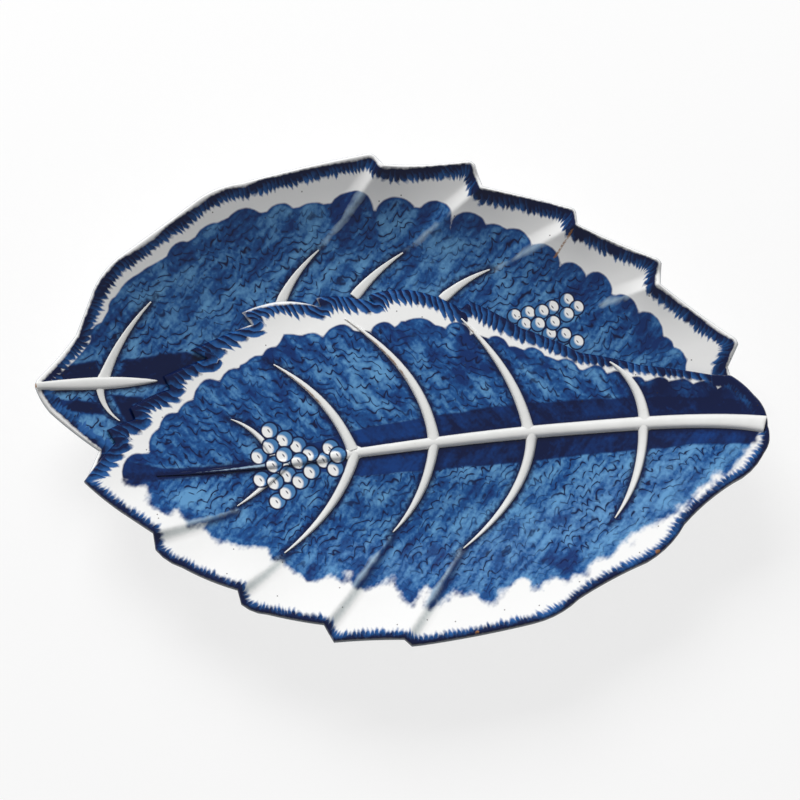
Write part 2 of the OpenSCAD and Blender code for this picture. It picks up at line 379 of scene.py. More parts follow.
def paint_grapes(tree, colour, wash):
    """Grapes over a colour, each over those of the layer before: white with a crescent of wash, a dark
    outline and a dash."""
    for layer in range(GRAPE_LAYERS):
        spot = add(tree, "Attribute", {}, "Vector", attribute_name=f"grape_{layer}")
        turned = add(tree, "VectorMath", {0: spot, 1: (2.0, 0, 0)}, "Value", operation="DISTANCE")
        turned = add(tree, "MapRange", {"Value": turned, "From Min": 2.4, "From Max": 3.2})
        skin = add(tree, "Mix", {0: turned, 6: WHITE, 7: wash}, 2, data_type="RGBA")
        dash = {0: spot, 1: (3.4, 1.1, 0), 2: (-1.3, 0, 0)}
        dash = add(tree, "VectorMath", dash, operation="MULTIPLY_ADD")
        dash = add(tree, "VectorMath", {0: dash}, "Value", operation="LENGTH")
        dash = {"Value": dash, "From Min": 0.6, "From Max": 1.2, "To Min": 0.85, "To Max": 0.0}
        dash = add(tree, "MapRange", dash)
        far = add(tree, "VectorMath", {0: spot}, "Value", operation="LENGTH")
        rim = add(tree, "MapRange", {"Value": far, "From Min": GRAPE - 0.75, "From Max": GRAPE - 0.4})
        line = add(tree, "Math", [rim, dash], operation="MAXIMUM")
        skin = add(tree, "Mix", {0: line, 6: skin, 7: NAVY}, 2, data_type="RGBA")
        fruit = add(tree, "MapRange", {"Value": far, "From Min": GRAPE + 0.3, "From Max": GRAPE})
        colour = add(tree, "Mix", {0: fruit, 6: colour, 7: skin}, 2, data_type="RGBA")
    return colour


# Cobalt under clear glaze: a white body that the blue has sunk into, pale where the wash is thin
# and near black where it pooled, all under one wet-looking coat
WHITE = linear("#F5F5F4")
PALE = linear("#6098C8")
MID = linear("#1C5594")
DEEP = linear("#0B2F6A")
NAVY = linear("#051540")
STAIN = linear("#9C6B3A")

painted = bpy.data.materials.new("cobalt_painted_porcelain")
painted.use_nodes = True
t = painted.node_tree
coat = t.nodes["Principled BSDF"]
READINGS = (
    "depth run row field seam stain ragged dark rib crest crease bare tone face "
    "comb comb_pitch comb_solid comb_lean"
).split()
at = {name: add(t, "Attribute", {}, "Fac", attribute_name=name) for name in READINGS}
flow = add(t, "Attribute", {}, "Vector", attribute_name="flow")
place = add(t, "TexCoord", {}, "Object")
# Brush streaks along the veins, with one unit to the width of a stroke, blotches of 10 mm and a grain
# of 1.6 mm
streak = {"Vector": flow, "Scale": 1.0, "Detail": 2.0, "Roughness": 0.55}
streak = add(t, "TexNoise", streak, noise_dimensions="2D")
blotch = add(t, "TexNoise", {"Vector": place, "Scale": 1000 / 10, "Detail": 3.0}, noise_dimensions="2D")
grain = add(t, "TexNoise", {"Vector": place, "Scale": 1000 / 1.6, "Detail": 2.0}, noise_dimensions="2D")
shade = add(t, "Math", [streak, 2.2, at["tone"]], operation="MULTIPLY_ADD")
shade = add(t, "Math", [blotch, 1.9, shade], operation="MULTIPLY_ADD")
shade = add(t, "Math", [grain, 1.0, shade], operation="MULTIPLY_ADD")
shade = add(t, "Math", [shade, -2.63], operation="ADD")
# The wash stops at a soft-edged border, frayed along the lower rim, and is darker just inside it
fray = add(t, "Math", [blotch, 2.5, streak], operation="MULTIPLY_ADD")
fray = add(t, "Math", [grain, 0.3, fray], operation="MULTIPLY_ADD")
fray = add(t, "Math", [fray, 4.0, -7.0], operation="MULTIPLY_ADD")
border = add(t, "Math", [fray, at["ragged"], at["field"]], operation="MULTIPLY_ADD")
soft = add(t, "Math", [at["ragged"], 3.0, 0.2], operation="MULTIPLY_ADD")
washed = {"Value": border, "From Min": -0.25, "From Max": soft}
washed = add(t, "MapRange", washed, interpolation_type="SMOOTHSTEP")
pool = add(t, "MapRange", {"Value": border, "From Min": 0.2, "From Max": 1.4, "To Min": 0.4, "To Max": 0.0})
shade = add(t, "Math", [shade, pool], operation="ADD")
side = {"Value": at["seam"], "From Min": 0.2, "From Max": 1.2, "To Min": 0.35, "To Max": 0.0}
side = add(t, "MapRange", side)
shade = add(t, "Math", [shade, side], operation="ADD")
# Fine pen lines over the wash: rows of small cusped waves, 3.6 mm apart and 5 mm long, in broken strokes
# with the wash pooled along them
bend = {"Vector": place, "Scale": 1000 / 12, "Detail": 2.0}
bend = add(t, "TexNoise", bend, "Color", noise_dimensions="2D")
bend = [add(t, "SeparateColor", {"Color": bend}, channel) for channel in ("Red", "Green")]
along = add(t, "VectorMath", {0: place, 1: (1000 / 5, 60, 0)}, "Value", operation="DOT_PRODUCT")
along = add(t, "Math", [bend[0], 3.0, along], operation="MULTIPLY_ADD")
rank = add(t, "Math", [at["row"], 1 / 3.6], operation="MULTIPLY")
rank = add(t, "Math", [bend[1], 3.0, rank], operation="MULTIPLY_ADD")
along = add(t, "Math", [along, math.pi], operation="MULTIPLY")
along = add(t, "Math", [along], operation="SINE")
along = add(t, "Math", [along], operation="ABSOLUTE")
net = add(t, "Math", [along, 0.5, rank], operation="MULTIPLY_ADD")
net = add(t, "Math", [net], operation="FRACT")
net = add(t, "Math", [net, -0.5], operation="ADD")
net = add(t, "Math", [net], operation="ABSOLUTE")
pen = add(t, "MapRange", {"Value": net, "From Min": 0.05, "From Max": 0.16, "To Min": 1.0, "To Max": 0.0})
broken = add(t, "TexNoise", {"Vector": place, "Scale": 1000 / 4, "Detail": 1.0}, noise_dimensions="2D")
broken = add(t, "MapRange", {"Value": broken, "From Min": 0.38, "From Max": 0.48})
clear = add(t, "Math", [at["ragged"], 8.0, 2.0], operation="MULTIPLY_ADD")
inner = add(t, "MapRange", {"Value": border, "From Min": 0.5, "From Max": clear})
broad = add(t, "TexNoise", {"Vector": place, "Scale": 1000 / 30, "Detail": 4.0}, noise_dimensions="2D")
faint = {"Value": broad, "From Min": 0.36, "From Max": 0.52, "To Min": 0.6, "To Max": 1.0}
faint = add(t, "MapRange", faint)
inner = add(t, "Math", [inner, faint], operation="MULTIPLY")
pen = add(t, "Math", [pen, broken], operation="MULTIPLY")
pen = add(t, "Math", [pen, inner], operation="MULTIPLY")
puddle = {"Value": net, "From Min": 0.05, "From Max": 0.5, "To Min": 0.16, "To Max": -0.16}
puddle = add(t, "MapRange", puddle)
shade = add(t, "Math", [puddle, inner, shade], operation="MULTIPLY_ADD")
thin = add(t, "MapRange", {"Value": shade, "From Min": -0.8, "From Max": 0.2})
thick = add(t, "MapRange", {"Value": shade, "From Min": 0.1, "From Max": 0.9})
blue = add(t, "Mix", {0: thin, 6: PALE, 7: MID}, 2, data_type="RGBA")
blue = add(t, "Mix", {0: thick, 6: blue, 7: DEEP}, 2, data_type="RGBA")
blue = add(t, "Mix", {0: pen, 6: blue, 7: linear("#07153F")}, 2, data_type="RGBA")
# The wash runs thin along the crest of each fold
ridge = add(t, "Math", [streak, -3.0, at["crest"]], operation="MULTIPLY_ADD")
ridge = add(t, "Math", [blotch, 4.0, ridge], operation="MULTIPLY_ADD")
ridge = {"Value": ridge, "From Min": 0.7, "From Max": 2.4, "To Min": 0.75, "To Max": 0.0}
ridge = add(t, "MapRange", ridge)
blue = add(t, "Mix", {0: ridge, 6: blue, 7: linear("#A9C2D6")}, 2, data_type="RGBA")
# Solid dark bands along the midribs, with the brush showing
band = add(t, "Math", [blotch, 1.6, at["dark"]], operation="MULTIPLY_ADD")
band = add(t, "Math", [band, -0.8], operation="ADD")
band = add(t, "MapRange", {"Value": band, "From Min": -0.45, "From Max": 0.45})
brush = add(t, "MapRange", {"Value": shade, "From Min": -0.9, "From Max": 0.7})
solid = add(t, "Mix", {0: brush, 6: linear("#0C3A7C"), 7: NAVY}, 2, data_type="RGBA")
blue = add(t, "Mix", {0: band, 6: blue, 7: solid}, 2, data_type="RGBA")
# Grains of blue pooled beside the ribs, and white left along them
foot = add(t, "Math", [grain, -2.2, at["rib"]], operation="MULTIPLY_ADD")
foot = add(t, "MapRange", {"Value": foot, "From Min": -0.5, "From Max": 1.5, "To Min": 0.95, "To Max": 0.0})
blue = add(t, "Mix", {0: foot, 6: blue, 7: NAVY}, 2, data_type="RGBA")
spared = add(t, "MapRange", {"Value": at["rib"], "From Min": -0.15, "From Max": 0.15})
washed = add(t, "Math", [washed, spared], operation="MULTIPLY")
colour = add(t, "Mix", {0: washed, 6: WHITE, 7: blue}, 2, data_type="RGBA")
# Painted shade along the crease on the steep side of each fold of the lower rim, for the shadow of that
# flank: grey on the white and navy in the blue
crease_shade = add(t, "Math", [grain, 0.8, at["crease"]], operation="MULTIPLY_ADD")
crease_shade = {"Value": crease_shade, "From Min": 0.6, "From Max": 2.8, "To Min": 0.85, "To Max": 0.0}
crease_shade = add(t, "MapRange", crease_shade)
crease_shade_colour = add(t, "Mix", {0: washed, 6: linear("#BCC4C4"), 7: NAVY}, 2, data_type="RGBA")
colour = add(t, "Mix", {0: crease_shade, 6: colour, 7: crease_shade_colour}, 2, data_type="RGBA")
# Comb of pointed strokes round the edge, each dark along one side and paler at its tip
sway = add(t, "Math", [at["depth"], at["comb_lean"], at["run"]], operation="MULTIPLY_ADD")
sway = add(t, "Math", [bend[0], 6.0, sway], operation="MULTIPLY_ADD")
stroke = add(t, "Math", [sway, at["comb_pitch"]], operation="DIVIDE")
which = add(t, "Math", [stroke], operation="FLOOR")
across = add(t, "Math", [stroke], operation="FRACT")
chance = add(t, "TexWhiteNoise", {"W": which}, "Value", noise_dimensions="1D")
point = add(t, "Math", [across, 2.0, -1.0], operation="MULTIPLY_ADD")
point = add(t, "Math", [point], operation="ABSOLUTE")
point = add(t, "Math", [1.0, point], operation="SUBTRACT")
blunt = add(t, "Math", [at["ragged"], -0.25, 0.6], operation="MULTIPLY_ADD")
point = add(t, "Math", [point, blunt], operation="POWER")
reach = add(t, "Math", [chance, 0.7, 0.45], operation="MULTIPLY_ADD")
reach = add(t, "Math", [reach, point], operation="MULTIPLY")
loose = add(t, "Math", [1.0, at["comb_solid"]], operation="SUBTRACT")
reach = add(t, "Math", [reach, loose, at["comb_solid"]], operation="MULTIPLY_ADD")
reach = add(t, "Math", [reach, at["comb"]], operation="MULTIPLY")
reach = add(t, "Math", [grain, 1.4, reach], operation="MULTIPLY_ADD")
reach = add(t, "Math", [reach, -0.7], operation="ADD")
reach = add(t, "Math", [reach, at["depth"]], operation="SUBTRACT")
blur = add(t, "Math", [at["ragged"], 1.1, 0.9], operation="MULTIPLY_ADD")
feather = {"Value": reach, "From Min": -0.4, "From Max": blur}
feather = add(t, "MapRange", feather, interpolation_type="SMOOTHSTEP")
inward = add(t, "Math", [at["depth"], at["comb"]], operation="DIVIDE")
inward = add(t, "Math", [at["comb_solid"], inward], operation="SUBTRACT")
flank = add(t, "Math", [across, -0.6], operation="ADD")
flank = add(t, "Math", [flank, at["comb_lean"]], operation="MULTIPLY")
upright = add(t, "Math", [at["comb_lean"], -0.8, 1.0], operation="MULTIPLY_ADD")
ink = add(t, "Math", [inward, upright], operation="MULTIPLY")
ink = add(t, "Math", [at["comb_lean"], -0.45, ink], operation="MULTIPLY_ADD")
ink = add(t, "Math", [flank, -1.4, ink], operation="MULTIPLY_ADD")
ink = add(t, "Math", [shade, 0.3, ink], operation="MULTIPLY_ADD")
ink = add(t, "Math", [at["ragged"], -0.1, ink], operation="MULTIPLY_ADD")
dense = add(t, "MapRange", {"Value": ink, "From Min": -0.15, "From Max": 0.3})
light = add(t, "MapRange", {"Value": ink, "From Min": -0.6, "From Max": 0.0})
ink = add(t, "Mix", {0: light, 6: linear("#3568AA"), 7: MID}, 2, data_type="RGBA")
ink = add(t, "Mix", {0: dense, 6: ink, 7: NAVY}, 2, data_type="RGBA")
colour = add(t, "Mix", {0: feather, 6: colour, 7: ink}, 2, data_type="RGBA")
# A nearly white line along the lip, partly where the blue is worn thin and partly a painted highlight, and
# painted shade at the very edge: a grey line for the shaded outer side of the lip
lip_white_spread = add(t, "Math", [broad, 3.0, -0.5], operation="MULTIPLY_ADD")
worn = add(t, "Math", [lip_white_spread, at["bare"]], operation="MULTIPLY")
worn = add(t, "Math", [at["depth"], worn], operation="SUBTRACT")
worn = add(t, "Math", [grain, 0.8, worn], operation="MULTIPLY_ADD")
worn = add(t, "MapRange", {"Value": worn, "From Min": 0.1, "From Max": 0.9, "To Min": 0.95, "To Max": 0.0})
lip_white_share = add(t, "Math", [at["bare"], 2.5], operation="MULTIPLY", use_clamp=True)
worn = add(t, "Math", [worn, lip_white_share], operation="MULTIPLY")
colour = add(t, "Mix", {0: worn, 6: colour, 7: WHITE}, 2, data_type="RGBA")
# Painted shade: a grey line along the outermost edge of the lip
outline = {"Value": at["depth"], "From Min": 0.1, "From Max": 0.4, "To Min": 0.8, "To Max": 0.0}
outline = add(t, "MapRange", outline)
outline = add(t, "Math", [outline, at["bare"]], operation="MULTIPLY")
colour = add(t, "Mix", {0: outline, 6: colour, 7: linear("#7C8A98")}, 2, data_type="RGBA")
wash = add(t, "Mix", {0: blotch, 6: PALE, 7: MID}, 2, data_type="RGBA")
colour = paint_grapes(t, colour, wash)
# Iron specks in the paste, 0.5 mm across and a few centimetres apart, and brown stain in old chips
speck = add(t, "TexVoronoi", {"Vector": place, "Scale": 1000 / 16}, "Distance", voronoi_dimensions="2D")
speck = {"Value": speck, "From Min": 0.012, "From Max": 0.022, "To Min": 0.8, "To Max": 0.0}
speck = add(t, "MapRange", speck)
colour = add(t, "Mix", {0: speck, 6: colour, 7: linear("#2A211C")}, 2, data_type="RGBA")
chip = add(t, "Math", [grain, 0.6, at["stain"]], operation="MULTIPLY_ADD")
chip = add(t, "MapRange", {"Value": chip, "From Min": 0.2, "From Max": 0.5, "To Min": 0.8, "To Max": 0.0})
colour = add(t, "Mix", {0: chip, 6: colour, 7: STAIN}, 2, data_type="RGBA")
colour = add(t, "Mix", {0: at["face"], 6: WHITE, 7: colour}, 2, data_type="RGBA")
t.links.new(colour, coat.inputs["Base Color"])
gloss = {"Value": blotch, "From Min": 0.3, "From Max": 0.7, "To Min": 0.12, "To Max": 0.22}
gloss = add(t, "MapRange", gloss)
t.links.new(gloss, coat.inputs["Roughness"])
ripple = add(t, "Bump", {"Height": blotch, "Strength": 0.06, "Distance": 0.002}, "Normal")
t.links.new(ripple, coat.inputs["Normal"])
coat.inputs["IOR"].default_value = 1.5

# Ribs of the back leaf as handles, width, height, how late they dwindle and how much they widen at the root
VEIN_WIDTH = 4
BACK_VEIN_HEIGHT = 0.4
BACK_MIDRIB = ([(-141.5, 4.6), (-120, 8), (-97.5, 10.3)], 4, 1, 6, 0)
BACK_VEINS = {
    "back_vein_upper_1": ([(-119, 8), (-113.5, 26), (-100, 41)], 0.95, 0.3),
    "back_vein_upper_2": ([(-47.5, 45), (-43, 55), (-33, 64)], 0.9, 0),
    "back_vein_upper_3": ([(-17, 48), (-10, 56.5), (1, 63.5)], 0.95, 0),
    "back_vein_upper_4": ([(18.5, 46.5), (26, 53), (36, 56.5)], 0.9, 0),
    "back_vein_lower_1": ([(-120, 7.8), (-120, -2), (-112, -7)], 0.75, 0.3),
}
back_ribs = {"back_midrib": BACK_MIDRIB}
for node, (handles, size, flare) in BACK_VEINS.items():
    back_ribs[node] = (handles, VEIN_WIDTH * size, BACK_VEIN_HEIGHT * size, 1, flare)
BACK_GRAPES = [
    (46, 38), (51.5, 39), (57, 39.5), (61, 41), (67, 43.5), (71, 40.5), (67, 38), (50, 34.5), (55.5, 34.5),
    (61.5, 35), (60, 30.5), (66, 30), (71, 27),
]
BACK_GRAPE = 3.1
BACK_LIT = (0.8, 0.6)
# White band between the edge and the blue: place along the dish, and width
BACK_BAND = [(-145, 4), (-130, 6), (-123, 8.5), (-64, 12), (0, 18), (50, 21), (102, 18), (134, 16)]
# Dabs of the brush along the border: place, radius and how dark
BACK_DABS = [
    (-120, 27, 3.5, 0.3), (-113, 38, 3.5, 0), (-104, 43, 6, -0.1), (-88, 58, 5.5, 0.6), (-75, 64, 7.5, 0.2),
    (-63, 70.5, 7, 0.5), (-48.5, 75.5, 5, -0.2), (-36, 75, 6.5, 0), (-20, 79, 7, 1.1), (-13, 76, 3.5, 0.8),
    (-2, 77.5, 6.5, 0.1), (6, 76, 4.5, 0.1), (14, 78, 5, 0.4), (27.5, 72.5, 5.5, 0.3), (38, 68, 5.5, 0.1),
    (46, 66, 5.5, 0.1), (57, 59, 6, 0.3), (69, 52.5, 5, 0.9), (79.5, 48, 5, 0.6), (89, 37.5, 6, 0.7),
    (99, 30, 6, 0.8), (106, 23, 3.5, 0.9), (110, 18, 4, 0.1), (-135, 2, 2.2, -1), (-127, 2.5, 2.2, -1),
    (-110, 5.5, 2, -0.8), (-125, -10, 4, -0.7),
]
# Brown spots: the worn tip, and a hairline crack in from the edge
BACK_STAINS = [(-144.5, 4.5, 0.9)] + [(62 + 0.35 * k, 60 + 0.47 * k, 0.4) for k in range(21)]
# Solid dark blocks beside the midrib
BACK_BLOCKS = [
    [(-143, 6), (-139, 12), (-121, 17), (-119.5, 8)],
    [(-114, 8.5), (-110, 18), (-86, 23), (-76, 18), (-94, 9)],
    [(-140, 0.5), (-119.5, -0.5), (-118, -5), (-137, -4)],
    [(-116.5, 4), (-103, 3.5), (-103, 1.5), (-107, 0), (-105.5, -8), (-109, -8)],
]
# Comb of the free edge: length of the strokes, distance from one to the next, slant, the share of the
# length that is solid, and the width of the nearly white lip line, partly worn and partly a painted
# highlight, which also sets the painted shade at the very edge
BACK_COMB = 7.2
BACK_COMB_PITCH = 2
BACK_COMB_LEAN = 0.2
BACK_COMB_SOLID = [(-135, 0.6), (-110, 0.74)]
BACK_LIP_WHITE = [(20, 1.4), (60, 1.25)]
# How far the border of the wash is frayed: a clean brush line here
CLEAN = 0.1
BLOCK_TONE = 0.9
# Strokes of the wash, the spacing of points that the edge is read from, and how many of them its teeth
# are evened out over
STROKE_WIDTH = 5
STROKE_LENGTH = 14
FINE_STEP = 0.6
TEETH = 8

back_edge = np.concatenate([edge(FRONT_RIM + BACK_RIM[:1], 4), edge(BACK_RIM + FRONT_RIM[:1], 1)])
hidden_rim = np.arange(len(back_edge)) < len(edge(FRONT_RIM + BACK_RIM[:1], 4))
back_shares = (np.concatenate([[0.2], np.linspace(0.36, 1, 90)]), np.linspace(1, 0.15, 18))
points = leaf_points(back_edge, back_shares, BACK_LEAN, back_top, lambda p: back_top(p) - WALL, hidden_rim)
n, m = points.shape[:2]
points = np.concatenate([points.reshape(-1, 3), [[*HUB, back_top(HUB)], [*HUB, back_top(HUB) - WALL]]])
back_leaf = piece("back_leaf_painted", points, leaf_faces(n, m), painted, "back_leaf")

xy = points[:, :2]
fine_edge = np.concatenate([
    edge(FRONT_RIM + BACK_RIM[:1], FINE_STEP),
    edge(BACK_RIM + FRONT_RIM[:1], FINE_STEP),
])
depth_mm, _, nearest = nearest_on(xy, fine_edge)
run_mm = nearest_on(xy, evened(fine_edge, TEETH))[1]
band_mm = by_length(nearest, BACK_BAND)
# Below the stalk the blue runs nearly to the edge
band_mm = np.where(nearest[:, 1] < 3, 2, band_mm)
field_mm, tone_mm, seam_mm = dabs(xy, depth_mm - band_mm, BACK_DABS)
blocks = np.max([patch(xy, corners) for corners in BACK_BLOCKS], 0)
upper_face = np.concatenate([np.tile(np.arange(m) < len(back_shares[0]) + 6, n), [True, False]])
everywhere = np.ones(len(xy))
give(
    back_leaf,
    depth=depth_mm, run=run_mm, field=field_mm, seam=seam_mm, dark=blocks,
    tone=tone_mm + BLOCK_TONE * np.clip(blocks, 0, 1), row=xy[:, 1] - 0.45 * xy[:, 0],
    stain=spots(xy, BACK_STAINS), ragged=CLEAN * everywhere, rib=rib_reading(xy, back_ribs.values()),
    comb=BACK_COMB * everywhere, comb_pitch=BACK_COMB_PITCH * everywhere,
    comb_solid=by_length(xy, BACK_COMB_SOLID), comb_lean=BACK_COMB_LEAN * everywhere,
    bare=by_length(xy, BACK_LIP_WHITE), face=upper_face.astype(float),
    flow=np.stack([(xy[:, 0] - 0.8 * xy[:, 1]) / STROKE_WIDTH, xy[:, 1] / STROKE_LENGTH, 0 * xy[:, 0]], 1),
    **crest_reading(xy), **grape_reading(xy, BACK_GRAPES, BACK_GRAPE, BACK_LIT),
)


# Front leaf
# A second, thinner pressed leaf luted over the lower half of the first with slip, its toothed
# upper edge standing proud of the back leaf. Same painting and glaze.

FRONT_WALL = 2.4
FRONT_LEAN = -30
FRONT_EDGE = [
    (124, 10.5, 0.4), (96, 16.5, 0.5), (72, 22.5, 0.6), (48.5, 33, 0.5), (28, 44, 0), (24.5, 41, 1),
    (4.5, 48.5, 0.3), (-4.5, 48.5, 0.3), (-13, 46.5, 0), (-10.5, 43.5, 0.6), (-28, 46, 0.2), (-34, 45, 0),
    (-32.5, 41.5, 0.8), (-49, 43.5, 0.6), (-64, 38.5, 0), (-60, 34, 0.4), (-84.5, 23, 0), (-78, 20, 0.3),
    (-95, 12, 0), (-92.5, 7, 0.8), (-108, -1.5, 0), (-106, -6, 0.3), (-117, -11.5, 0), (-113.5, -16.5, 0.4),
]
VEIN_HEIGHT = 1.4
FRONT_MIDRIB = ([(142, -11.5), (90, 1), (-10, -19), (-97, -29.5)], 5.4, 1.8, 3, 0.25)
FRONT_VEINS = {
    "front_vein_upper_1": ([(97.5, -7.5), (97, 9), (84, 18)], 1),
    "front_vein_upper_2": ([(51.5, -10.5), (47, 14), (24.5, 36.5)], 1),
    "front_vein_upper_3": ([(13.5, -14.5), (10, 15), (-22.5, 36.5)], 1),
    "front_vein_upper_4": ([(-19, -18), (-27.5, 4), (-51, 17.5)], 0.95),
    "front_vein_upper_5": ([(-49, -23.5), (-56, -9), (-68, -5)], 0.6),
    "front_vein_lower_1": ([(97, -7.5), (97, -30), (85, -47)], 0.9),
    "front_vein_lower_2": ([(52.5, -10.5), (52, -35), (25, -58)], 0.95),
    "front_vein_lower_3": ([(13.5, -14.5), (11, -36), (-3, -51)], 0.9),
    "front_vein_lower_4": ([(-18, -18), (-23, -40), (-46, -60.5)], 0.95),
    "front_vein_lower_5": ([(-45, -22.5), (-54, -33), (-65, -41)], 0.6),
}
front_ribs = {"front_midrib": FRONT_MIDRIB}
for node, (handles, size) in FRONT_VEINS.items():
    front_ribs[node] = (handles, VEIN_WIDTH * size, VEIN_HEIGHT * size, 2, 0.25)
FRONT_GRAPES = [
    (-52.5, -9.5), (-46.5, -13), (-41, -15.5), (-36, -19), (-52, -16), (-46.5, -19.5), (-56.5, -20),
    (-50.5, -23.5), (-40.5, -22), (-30.5, -21.5), (-28, -16.5), (-25, -19.5), (-26, -25), (-35.5, -26),
    (-45, -27.5), (-55.5, -29.5), (-50, -30.5), (-40, -30), (-45, -34.5), (-49, -38.5),
]
FRONT_LIT = (-0.8, -0.6)
# Lower border of the blue from left to right: tongues of the wash between the folds
FRONT_BORDER = [
    (-112, -28), (-109, -34.5), (-101.5, -35.5), (-101, -40), (-97.5, -44.5), (-92, -46.5), (-89, -45),
    (-84, -50), (-80, -51), (-76, -57), (-70, -57.5), (-66, -59), (-60, -59.5), (-54, -60.5), (-52, -66),
    (-48, -66), (-43, -70), (-38, -72), (-28, -73), (-23, -74), (-20, -70), (-18, -78), (-13, -76),
    (-9, -75), (-3, -71.5), (-2, -76), (1, -81), (4, -82), (7, -78), (10, -76), (11, -85), (15, -83),
    (19, -81), (22, -77), (26, -80), (29, -78), (32, -82), (37, -82), (41, -78), (45, -75), (48, -74),
    (51, -77), (56, -77), (60, -73), (66, -73.5), (69, -72), (73, -71), (77, -67), (84, -63), (92, -57.5),
    (99, -53), (104, -48.5), (110, -45), (117, -39), (125, -34), (134, -28.5), (141, -20), (146, -9),
    (146, 20),
]
FRONT_STAINS = [(101, -62.5, 1), (30, -94.5, 0.7), (-112, -20, 0.2), (-34, 30, 0.2)]
FRONT_DABS = [
    (-104, -29, 6.5, 0.6), (-95, -16.5, 5.5, 0.3), (-91, -10, 5.5, 0.1), (-84, -4.5, 5.5, 0),
    (-77, 3.8, 6, 0.1), (-67, 8.5, 6, -0.1), (-58, 14, 6, 0), (-46, 21, 4, 0.5), (-52, 20.5, 3.5, 0.6),
    (-37, 24.5, 5.5, 0), (-25, 28, 5.5, -0.2), (-15, 28, 3.5, 0.4), (-7, 31, 4, 0.4), (7, 31, 6, 0.3),
    (14, 29.5, 4.5, 0.3), (23, 31, 4, -0.2), (29, 22, 4, 0.9), (39, 25, 4, 0.3), (46, 21, 3.5, 0.3),
    (54, 19.5, 4.5, 0.2), (67, 14, 5, -0.3), (79, 12, 4, -0.3), (87, 10, 3.5, 0), (95, 7, 4, 0.8),
    (104, 4.5, 5, 0.8), (113, 3.5, 5, 0.8), (122, 2.5, 4.5, 0.7), (131, -2, 4.5, 0.7), (26, 27, 3, 1.1),
    (14, 22, 2.5, 0.8), (35, 17, 2.5, 0.8), (3, 20, 3, 0.5), (-12, 11, 8, -0.6), (-18, 20, 5, -0.4),
    (66, -65, 4.5, 1.0), (12, -76, 2, 0.2),
]
# White band inside the overlapping edge, and the dark bands over and below the midrib: place and width
FRONT_BAND = [(-120, 14), (20, 13), (45, 9), (60, 7), (125, 6.5)]
DARK_OVER = [(-112, 6), (-92, 3), (-60, 2), (-40, 6), (-15, 10), (40, 12), (97, 11), (140, 9)]
DARK_BELOW = [(-112, 6), (-96, 2), (-60, 1.2), (-40, 4), (-15, 10), (40, 12), (97, 11), (140, 9)]
# Combs of the rim and of the overlapping edge, where the strokes are broader and lean over
RIM_COMB = 5.4
RIM_COMB_PITCH = 1.8
RIM_COMB_LEAN = 0.1
RIM_COMB_SOLID = 0.58
# Width of the nearly white lip line on the rim, partly worn and partly a painted highlight, and of the
# painted shade at its very edge
RIM_LIP_WHITE = 0.08
STALK_COMB_SOLID = 0.9
EDGE_COMB = [(40, 7.6), (85, 5), (130, 4.5)]
EDGE_COMB_PITCH = 3
EDGE_COMB_LEAN = [(-90, 0.4), (-60, 0.75), (0, 0.75), (40, 0.5)]
EDGE_COMB_SOLID = [(-90, 0.7), (-60, 0.58), (0, 0.58), (40, 0.72)]
# The same for the overlapping edge: nearly white lip line, partly worn and partly a painted highlight, with
# painted shade at the very edge
EDGE_LIP_WHITE = 1.2
# The wash frays out along the rim
FRAYED = 1.0
UPPER_TONE = 0.25
LOWER_TONE = [(-20, 0.2), (90, -0.15)]


def front_top(p):
    """Height of the front leaf's upper face, over its bed of slip."""
    return back_top(p) + SLIP + FRONT_WALL


front_edge = np.concatenate([edge(FRONT_RIM + FRONT_EDGE[:1], 1.2), edge(FRONT_EDGE + FRONT_RIM[:1], 1.2)])
front_shares = (np.linspace(0.02, 1, 100), np.linspace(1, 0.2, 12))
points = leaf_points(
    front_edge, front_shares, FRONT_LEAN, front_top, lambda p: back_top(p) + SLIP,
    np.zeros(len(front_edge), bool),
)
n, m = points.shape[:2]
points = np.concatenate([points.reshape(-1, 3), [[*HUB, front_top(HUB)], [*HUB, back_top(HUB) + SLIP]]])
front_leaf = piece("front_leaf_painted", points, leaf_faces(n, m), painted, "front_leaf")

xy = points[:, :2]
fine_edge = np.concatenate([
    edge(FRONT_RIM + FRONT_EDGE[:1], FINE_STEP),
    edge(FRONT_EDGE + FRONT_RIM[:1], FINE_STEP),
])
depth_mm, along_mm, _ = nearest_on(xy, fine_edge)
run_mm = nearest_on(xy, evened(fine_edge, TEETH))[1]
rim_length = np.hypot(*np.diff(edge(FRONT_RIM + FRONT_EDGE[:1], FINE_STEP), axis=0).T).sum()
on_rim = along_mm < rim_length
above = patch(xy, FRONT_BORDER + [(120, 60), (-140, 60)])
edge_mm = nearest_on(xy, edge(FRONT_EDGE + FRONT_RIM[:1], FINE_STEP))[0]
field_mm, tone_mm, seam_mm = dabs(xy, edge_mm - by_length(xy, FRONT_BAND), FRONT_DABS)
field_mm = np.minimum(field_mm, above)
midrib_share = np.linspace(0, 1, 300)
midrib_line = bezier(FRONT_MIDRIB[0], midrib_share)
lift = xy[:, 1] - by_length(xy, midrib_line[::-1])
bands = np.where(lift > 0, by_length(xy, DARK_OVER), by_length(xy, DARK_BELOW)) - abs(lift)
# Right of the last vein nearly all of the upper half is dark
bands = np.maximum(bands, np.minimum(0.15, np.minimum(lift, xy[:, 0] - 97)))
upper_face = np.concatenate([np.tile(np.arange(m) < len(front_shares[0]) + 9, n), [True, False]])
# The bands are thinner towards the leaf tip, and darkest below the midrib
tone_mm = tone_mm - 0.7 * ((bands > 0) & (xy[:, 0] < 10))
tone_mm = tone_mm + 0.4 * ((bands > 0) & (lift < 0) & (xy[:, 0] > 10))
# A milky patch below the leaf tip
tone_mm = tone_mm - 1.1 * np.exp(-(((xy[:, 0] + 80) / 9) ** 2) - ((xy[:, 1] + 38) / 5) ** 2)
